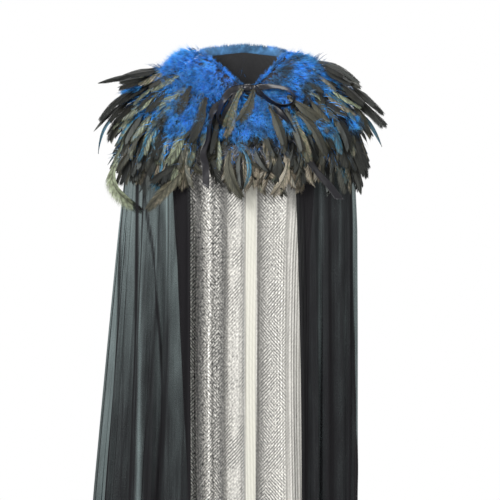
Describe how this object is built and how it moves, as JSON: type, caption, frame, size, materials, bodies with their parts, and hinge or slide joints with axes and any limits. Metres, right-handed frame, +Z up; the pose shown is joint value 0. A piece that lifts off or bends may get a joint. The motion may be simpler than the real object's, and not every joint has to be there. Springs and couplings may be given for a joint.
{
  "type": "feather cape",
  "caption": "Full-length cape with a feathered shoulder collar, a fluffy neck edge, a sheer skirt open at the front over a pale net cloth, and a ribbon bow at the throat.",
  "frame": {"origin": "where the wearer's neck and shoulders hold the cape: the middle of the neck opening, level with the sides of the neck", "axes": "+Z up, the front of the cape faces -Y, +X to the right as seen from the front"},
  "size_m": [0.6471, 0.3966, 1.2748],
  "materials": {
    "felt": "matt black felt",
    "blue_fluff": "fluffy blue down",
    "feathers": "dark iridescent feathers with blue downy bases",
    "sheer_tulle": "sheer black tulle",
    "pale_net": "pale net over cream",
    "cream_band": "plain cream cotton",
    "satin": "black satin"
  },
  "bodies": {
    "root": {"yoke_right_front": "felt", "yoke_back": "felt", "yoke_left_front": "felt", "neck_band": "blue_fluff", "feather_row_1": "feathers", "feather_row_2": "feathers", "feather_row_3": "feathers", "feather_row_4": "feathers", "feather_row_5": "feathers", "skirt_right_front": "sheer_tulle", "skirt_back": "sheer_tulle", "skirt_left_front": "sheer_tulle", "inner_left": "pale_net", "inner_right": "pale_net", "inner_edge_band": "cream_band", "ribbon_knot": "satin", "ribbon_loop_left": "satin", "ribbon_loop_right": "satin", "ribbon_tail_left": "satin", "ribbon_tail_right": "satin"}
  },
  "joints": []
}
